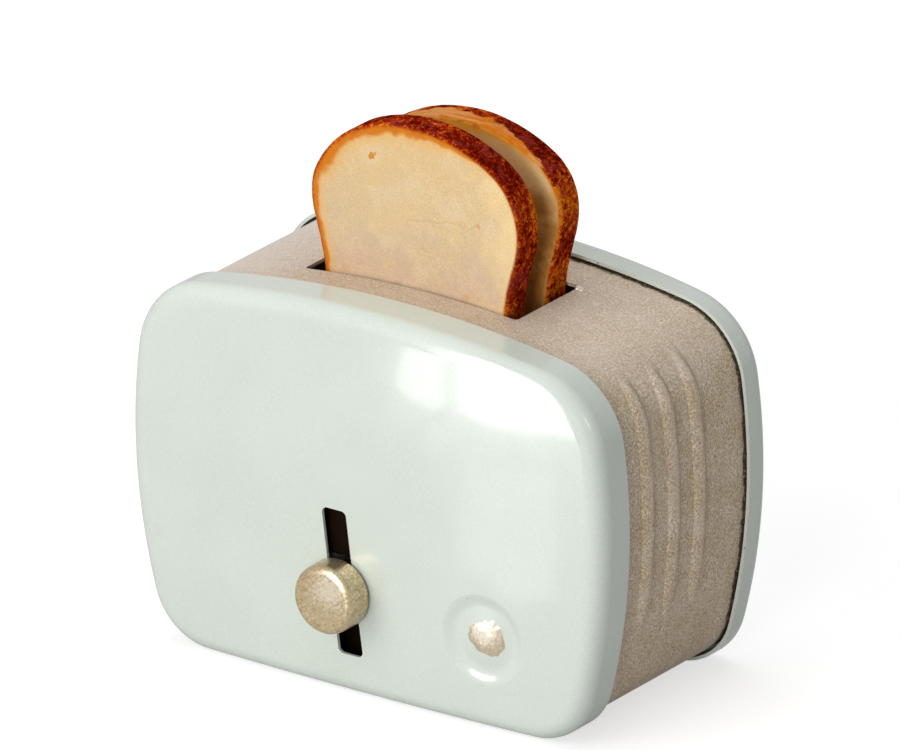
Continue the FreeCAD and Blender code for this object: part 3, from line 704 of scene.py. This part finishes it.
# Floor and backdrop
def floor_look():
    """Pale floor, seen as white, that keeps the toaster's shadow."""
    p = Paint("floor_look")
    tone = p.span(p.noise(0.004, 2.0), 0.3, 0.7, 0.0, 1.0)
    colour = p.mix(tone, (0.55, 0.55, 0.55), (0.57, 0.57, 0.57))
    p.set(Base_Color=colour, Roughness=0.9, Specular_IOR_Level=0.0)
    output = next(n for n in p.tree.nodes if n.type == "OUTPUT_MATERIAL")
    path = p.add("ShaderNodeLightPath")
    glow = p.add("ShaderNodeEmission", {"Color": (1.0, 1.0, 1.0, 1.0)})
    straight = p.math("MULTIPLY", path.outputs["Is Camera Ray"], 0.64)
    mirrored = p.math("MULTIPLY", path.outputs["Is Glossy Ray"], 0.20)
    p.feed(glow.inputs["Strength"], p.math("ADD", straight, mirrored))
    both = p.add("ShaderNodeAddShader")
    p.feed(both.inputs[0], p.shader.outputs[0])
    p.feed(both.inputs[1], glow.outputs[0])
    p.feed(output.inputs["Surface"], both.outputs[0])
    return p.material


FLOOR_HALF = 4000.0
floor_mesh = bpy.data.meshes.new("floor")
corners = [Vector(c) * FLOOR_HALF * MM for c in ((-1, -1, 0), (1, -1, 0), (1, 1, 0), (-1, 1, 0))]
floor_mesh.from_pydata(corners, [], [(0, 1, 2, 3)])
floor_mesh.materials.append(floor_look())
floor = bpy.data.objects.new("floor", floor_mesh)
bpy.context.scene.collection.objects.link(floor)


def card(name, outline, border, ragged, strength, y=None, z=None):
    """A small bright card, seen only in reflections, that fades out over a ragged border.

    Its outline is in X and Z where it stands at a y, and in X and Y where it lies at a z.
    """
    p = Paint(name + "_look")
    p.tree.nodes.remove(p.shader)
    torn = p.span(p.noise(0.8, 4.0, 0.65), 0.3, 0.7, -ragged, ragged)
    share = p.span(p.math("ADD", p.attribute("inside"), torn), 0.2, 0.8)
    glow = p.add("ShaderNodeEmission")
    p.feed(glow.inputs["Strength"], p.span(p.noise(0.5, 3.0), 0.35, 0.6, strength * 0.75, strength))
    clear = p.add("ShaderNodeBsdfTransparent")
    blend = p.add("ShaderNodeMixShader", {0: share, 1: clear.outputs[0], 2: glow.outputs[0]})
    output = next(n for n in p.tree.nodes if n.type == "OUTPUT_MATERIAL")
    p.feed(output.inputs["Surface"], blend.outputs[0])
    count = len(outline)
    ca = sum(a for a, b in outline) / count
    cb = sum(b for a, b in outline) / count
    points, faces = [], [tuple(range(count, 2 * count))]
    for side in (0.5, -0.5):
        for a, b in outline:
            grow = 1.0 + side * border / math.hypot(a - ca, b - cb)
            a, b = ca + (a - ca) * grow, cb + (b - cb) * grow
            points.append((a, y, b) if z is None else (a, b, z))
    for i in range(count):
        j = (i + 1) % count
        faces.append((i, j, count + j, count + i))
    mesh = bpy.data.meshes.new(name)
    mesh.from_pydata([Vector(c) * MM for c in points], [], faces)
    mesh.materials.append(p.material)
    piece = bpy.data.objects.new(name, mesh)
    bpy.context.scene.collection.objects.link(piece)
    store(piece, "inside", [0.0] * count + [1.0] * count)
    piece.visible_camera = False
    piece.visible_diffuse = False
    piece.visible_shadow = False
    piece.visible_transmission = False


# Two window panes, the floor's bright patch and a lamp at the side, as corners round each
PANE_LEFT = [(-29, 23), (-24, 25), (-21, 25), (-21, 17), (-24, 16), (-29, 18)]
PANE_RIGHT = [(-18.3, 25), (-14, 118), (19, 60), (17, 42), (9, 26), (5, 18), (-9, 16), (-18.5, 17)]
PANE_LOW = [(-32, -91), (-20, -91), (-18, -96), (6, -51), (3, -47), (-12, -55), (-23, -74)]
PANE_SIDE = [(71, 62), (84, 62), (84, 80), (71, 80)]
card("pane_left", PANE_LEFT, 1.8, 0.8, 9.0, y=-67.5)
card("pane_right", PANE_RIGHT, 1.8, 0.45, 10.0, y=-67.5)
card("pane_low", PANE_LOW, 2.0, 0.1, 2.7, z=0.3)
card("pane_side", PANE_SIDE, 2.0, 0.1, 8.0, y=-32.0)


LAMP_AIM = (0.0, 0.0, 25.0)


def area_lamp(name, place, size, power, colour=(1, 1, 1)):
    """A soft lamp that points at the toaster and isn't seen in reflections."""
    data = bpy.data.lights.new(name, "AREA")
    data.shape = "RECTANGLE"
    data.size, data.size_y = size[0] * MM, size[1] * MM
    data.energy = power
    data.color = colour
    lamp = bpy.data.objects.new(name, data)
    lamp.location = Vector(place) * MM
    lamp.rotation_euler = (Vector(LAMP_AIM) - Vector(place)).to_track_quat("-Z", "Y").to_euler()
    lamp.visible_camera = False
    lamp.visible_glossy = False
    bpy.context.scene.collection.objects.link(lamp)


area_lamp("key_lamp", (-285.0, -632.0, 425.0), (700.0, 700.0), 3.4, (1.0, 0.99, 0.965))
area_lamp("front_lamp", (240.0, -744.0, 185.0), (220.0, 220.0), 2.2)
area_lamp("top_lamp", (-60.0, 120.0, 730.0), (600.0, 600.0), 2.4)

# World: white to the camera, dimmer in reflections and dimmest as light
world = bpy.data.worlds.new("studio")
bpy.context.scene.world = world
world.use_nodes = True
sky = world.node_tree
background = sky.nodes["Background"]
path = sky.nodes.new("ShaderNodeLightPath")
WORLD_LIGHT = 0.20
WORLD_MIRRORED = 0.66
total = sky.nodes.new("ShaderNodeMath")
total.operation = "MULTIPLY_ADD"
sky.links.new(path.outputs["Is Glossy Ray"], total.inputs[0])
total.inputs[1].default_value = WORLD_MIRRORED - WORLD_LIGHT
total.inputs[2].default_value = WORLD_LIGHT
seen = sky.nodes.new("ShaderNodeMath")
seen.operation = "MAXIMUM"
sky.links.new(path.outputs["Is Camera Ray"], seen.inputs[0])
sky.links.new(total.outputs[0], seen.inputs[1])
sky.links.new(seen.outputs[0], background.inputs["Strength"])
background.inputs["Color"].default_value = (1.0, 1.0, 1.0, 1.0)

# Camera
azimuth = math.radians(CAMERA_AZIMUTH)
elevation = math.radians(CAMERA_ELEVATION)
roll = math.radians(CAMERA_ROLL)
level = Vector((math.cos(azimuth), math.sin(azimuth), 0.0))
ahead = Vector((-math.sin(azimuth), math.cos(azimuth), 0.0))
back = Vector((0.0, 0.0, math.sin(elevation))) - ahead * math.cos(elevation)
upright = back.cross(level)
right = level * math.cos(roll) + upright * math.sin(roll)
up = upright * math.cos(roll) - level * math.sin(roll)
lens = bpy.data.cameras.new("camera")
lens.sensor_width = SENSOR
lens.lens = CAMERA_SCALE * CAMERA_DISTANCE * SENSOR / PHOTO_WIDTH
lens.clip_start = 0.5
lens.clip_end = 20.0
camera = bpy.data.objects.new("camera", lens)
turn = Matrix((right, up, back)).transposed().to_4x4()
camera.matrix_world = Matrix.Translation((Vector(CAMERA_TARGET) + back * CAMERA_DISTANCE) * MM) @ turn
bpy.context.scene.collection.objects.link(camera)
bpy.context.scene.camera = camera
bpy.context.scene.view_settings.view_transform = "Standard"
